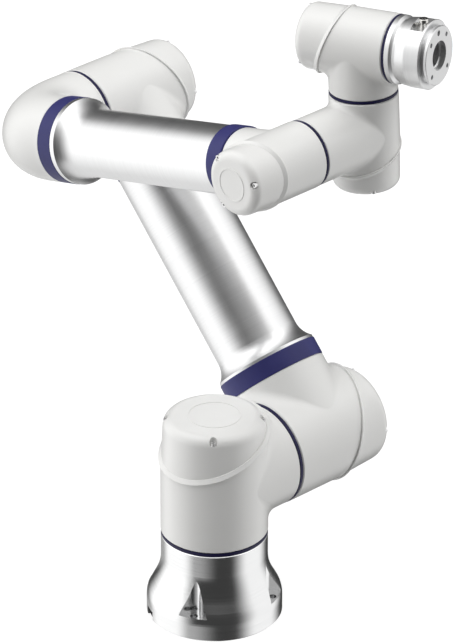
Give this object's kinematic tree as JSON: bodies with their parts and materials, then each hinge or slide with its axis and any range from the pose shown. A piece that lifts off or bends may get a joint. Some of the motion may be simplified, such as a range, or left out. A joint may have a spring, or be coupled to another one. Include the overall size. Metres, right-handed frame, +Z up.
{
  "type": "collaborative robot arm",
  "caption": "Bench robot arm with rounded tubular links, slanted end caps on its joint modules and a bolt-on tool flange.",
  "frame": {"origin": "centre of the base's foot, on the axis of joint 1", "axes": "+Z up along the axis of joint 1; +Y along the axes of joints 2, 3 and 4, from the shoulder towards the upper arm; +X forwards, the way the forearm points at rest"},
  "size_m": [0.5207, 0.2917, 0.7096],
  "materials": {
    "cast_white": "gloss paint on an aluminium casting",
    "cap_white": "gloss paint on a thin aluminium cover",
    "seal_navy": "smooth navy ring",
    "band_navy": "smooth navy band",
    "tube_aluminium": "drawn tube, brushed round",
    "turned_aluminium": "turned and polished",
    "screw_steel": "socket head screw",
    "spline_steel": "ground gear steel",
    "stator_laminate": "laminated stack with wound coils",
    "shaft_steel": "ground hollow shaft",
    "connector_metal": "nickel plated",
    "grommet_rubber": "moulded rubber"
  },
  "bodies": {
    "base": {"base_pedestal": "turned_aluminium", "cable_grommet": "grommet_rubber", "joint_1_flexible_spline": "spline_steel", "joint_1_seal_ring": "seal_navy"},
    "shoulder": {"shoulder_housing": "cast_white", "shoulder_cap": "cap_white", "shoulder_cap_screws": "screw_steel", "joint_1_stator": "stator_laminate", "joint_1_circular_spline": "spline_steel", "joint_2_flexible_spline": "spline_steel", "joint_2_seal_ring": "seal_navy"},
    "upper_arm": {"upper_arm_lower_housing": "cast_white", "upper_arm_lower_cap": "cap_white", "upper_arm_cap_screws": "screw_steel", "lower_band": "band_navy", "upper_arm_tube": "tube_aluminium", "upper_band": "band_navy", "elbow_housing": "cast_white", "elbow_cap": "cap_white", "joint_2_stator": "stator_laminate", "joint_2_circular_spline": "spline_steel", "joint_3_stator": "stator_laminate", "joint_3_circular_spline": "spline_steel"},
    "forearm": {"elbow_bend_housing": "cast_white", "rear_band": "band_navy", "forearm_tube": "tube_aluminium", "front_band": "band_navy", "wrist_1_housing": "cast_white", "wrist_1_cap": "cap_white", "wrist_1_cap_screws": "screw_steel", "joint_3_flexible_spline": "spline_steel", "joint_3_seal_ring": "seal_navy", "joint_4_stator": "stator_laminate", "joint_4_circular_spline": "spline_steel"},
    "wrist_2": {"wrist_2_housing": "cast_white", "wrist_2_cap": "cap_white", "wrist_2_cap_screws": "screw_steel", "joint_4_flexible_spline": "spline_steel", "joint_4_seal_ring": "seal_navy", "joint_5_stator": "stator_laminate", "joint_5_circular_spline": "spline_steel"},
    "wrist_3": {"wrist_3_housing": "cast_white", "wrist_3_cap": "cap_white", "wrist_3_cap_screws": "screw_steel", "joint_5_flexible_spline": "spline_steel", "joint_5_seal_ring": "seal_navy", "joint_6_stator": "stator_laminate", "joint_6_circular_spline": "spline_steel"},
    "tool": {"tool_fitting": "connector_metal", "tool_flange": "turned_aluminium", "tool_socket": "connector_metal", "joint_6_flexible_spline": "spline_steel", "joint_6_seal_ring": "seal_navy"},
    "rotor_1": {"joint_1_rotor": "shaft_steel"},
    "rotor_2": {"joint_2_rotor": "shaft_steel"},
    "rotor_3": {"joint_3_rotor": "shaft_steel"},
    "rotor_4": {"joint_4_rotor": "shaft_steel"},
    "rotor_5": {"joint_5_rotor": "shaft_steel"},
    "rotor_6": {"joint_6_rotor": "shaft_steel"}
  },
  "joints": [
    {"name": "joint_1", "type": "hinge", "parent": "base", "child": "shoulder", "pos_m": [0, 0, 0.1625], "axis": [0, 0, 1], "range_deg": [-175, 175]},
    {"name": "joint_2", "type": "hinge", "parent": "shoulder", "child": "upper_arm", "pos_m": [0, 0.14, 0.1625], "axis": [0, 1, 0], "range_deg": [-51.9, 138.1]},
    {"name": "joint_3", "type": "hinge", "parent": "upper_arm", "child": "forearm", "pos_m": [-0.29039, 0.14, 0.47282], "axis": [0, 1, 0], "range_deg": [-254.1, 15.9]},
    {"name": "joint_4", "type": "hinge", "parent": "forearm", "child": "wrist_2", "pos_m": [0.08996, 0.0022, 0.56765], "axis": [0, 1, 0], "range_deg": [-175, 175]},
    {"name": "joint_5", "type": "hinge", "parent": "wrist_2", "child": "wrist_3", "pos_m": [0.08996, 0.1333, 0.56765], "axis": [-0.0593, 0, 0.9982], "range_deg": [-175, 175]},
    {"name": "joint_6", "type": "hinge", "parent": "wrist_3", "child": "tool", "pos_m": [0.08424, 0.1333, 0.66408], "axis": [0.9515, 0.3024, 0.0565], "range_deg": [-175, 175]},
    {"name": "rotor_1_spin", "type": "hinge", "parent": "shoulder", "child": "rotor_1", "pos_m": [0, 0, 0.1625], "axis": [0, 0, 1], "continuous": true},
    {"name": "rotor_2_spin", "type": "hinge", "parent": "upper_arm", "child": "rotor_2", "pos_m": [0, 0.14, 0.1625], "axis": [0, 1, 0], "continuous": true},
    {"name": "rotor_3_spin", "type": "hinge", "parent": "upper_arm", "child": "rotor_3", "pos_m": [-0.29039, 0.14, 0.47282], "axis": [0, 1, 0], "continuous": true},
    {"name": "rotor_4_spin", "type": "hinge", "parent": "forearm", "child": "rotor_4", "pos_m": [0.08996, 0.0022, 0.56765], "axis": [0, 1, 0], "continuous": true},
    {"name": "rotor_5_spin", "type": "hinge", "parent": "wrist_2", "child": "rotor_5", "pos_m": [0.08996, 0.1333, 0.56765], "axis": [-0.0593, 0, 0.9982], "continuous": true},
    {"name": "rotor_6_spin", "type": "hinge", "parent": "wrist_3", "child": "rotor_6", "pos_m": [0.08424, 0.1333, 0.66408], "axis": [0.9515, 0.3024, 0.0565], "continuous": true}
  ],
  "couplings": [
    {"joint": "rotor_1_spin", "follows": "joint_1", "ratio": 100},
    {"joint": "rotor_2_spin", "follows": "joint_2", "ratio": 100},
    {"joint": "rotor_3_spin", "follows": "joint_3", "ratio": -100},
    {"joint": "rotor_4_spin", "follows": "joint_4", "ratio": -100},
    {"joint": "rotor_5_spin", "follows": "joint_5", "ratio": -100},
    {"joint": "rotor_6_spin", "follows": "joint_6", "ratio": -100}
  ]
}
